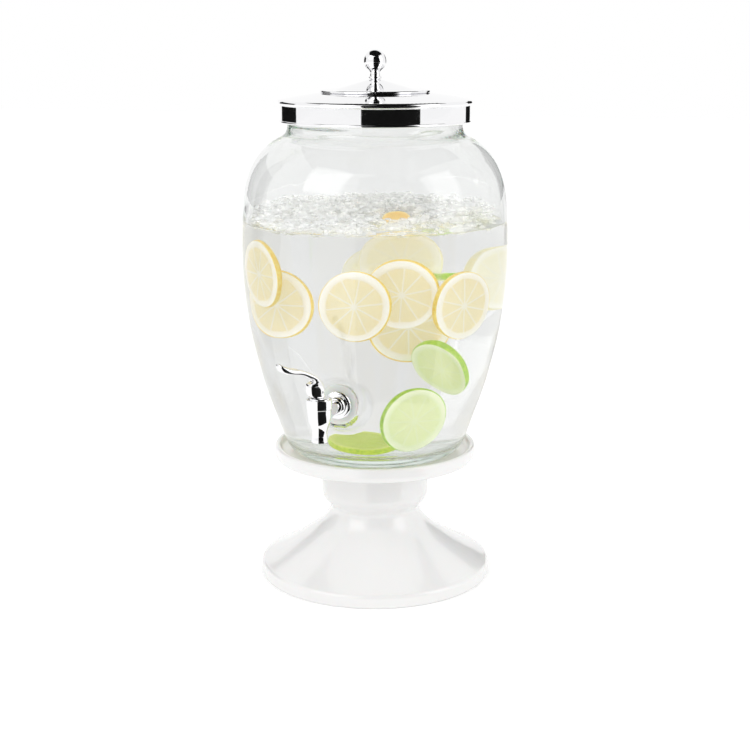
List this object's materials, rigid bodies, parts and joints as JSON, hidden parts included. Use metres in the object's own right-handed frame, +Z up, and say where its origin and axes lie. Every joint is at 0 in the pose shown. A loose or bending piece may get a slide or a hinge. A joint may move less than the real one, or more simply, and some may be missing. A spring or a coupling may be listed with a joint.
{
  "type": "beverage dispenser",
  "caption": "Glass drinks dispenser on a flared ceramic pedestal, with a lever tap near its base and a lift-off stepped metal lid with a ball knob.",
  "frame": {"origin": "centre of the pedestal's foot, on the surface it stands on", "axes": "+Z up along the jar's axis; -Y towards the side the tap is on; +X to the right as seen from the tap's side"},
  "size_m": [0.225, 0.2897, 0.4523],
  "materials": {
    "ceramic": "glossy white glaze",
    "clear_glass": "clear blown glass",
    "lid_chrome": "mirror polish",
    "tap_chrome": "mirror polish",
    "steel": "plain stainless",
    "lid_silicone": "translucent white silicone",
    "tap_silicone": "translucent clear silicone",
    "black_rubber": "black nitrile"
  },
  "bodies": {
    "stand": {"stand": "ceramic"},
    "jar": {"jar": "clear_glass", "outer_gasket": "tap_silicone", "inner_gasket": "tap_silicone", "shank_washer": "steel", "shank_nut": "tap_chrome", "spigot_body": "tap_chrome", "spigot_bonnet": "tap_chrome", "bonnet_gasket": "black_rubber"},
    "lid": {"lid_shell": "lid_chrome", "lid_seal": "lid_silicone", "lid_knob": "lid_chrome", "lid_knob_screw": "steel", "lid_knob_washer": "steel"},
    "guide": {"stem_guide": "tap_chrome"},
    "stem": {"stem": "tap_chrome", "stem_o_ring": "black_rubber", "seat_plug": "black_rubber", "stem_spring": "steel"},
    "lever": {"lever": "tap_chrome", "lever_pin": "steel"}
  },
  "joints": [
    {"name": "jar_lift", "type": "slide", "parent": "stand", "child": "jar", "axis": [0, 0, 1], "range_m": [0, 0.15]},
    {"name": "lid_lift", "type": "slide", "parent": "jar", "child": "lid", "axis": [0, 0, 1], "range_m": [0, 0.15]},
    {"name": "lever_swivel", "type": "hinge", "parent": "jar", "child": "guide", "pos_m": [0, -0.147, 0.191], "axis": [0, 0, 1], "range_deg": [-107, 193]},
    {"name": "stem_lift", "type": "slide", "parent": "guide", "child": "stem", "axis": [0, 0, 1], "range_m": [0, 0.00301], "stiffness_N_per_m": 2, "springref_m": 0.1306, "deforming": ["stem_spring"]},
    {"name": "lever_press", "type": "hinge", "parent": "stem", "child": "lever", "pos_m": [0, -0.147, 0.1966], "axis": [0.7314, -0.682, 0], "range_deg": [0, 30], "stiffness_Nm_per_rad": 0.05, "springref_deg": -65.89}
  ],
  "couplings": [
    {"joint": "stem_lift", "follows": "lever_press", "m_per_rad": 0.00573}
  ]
}
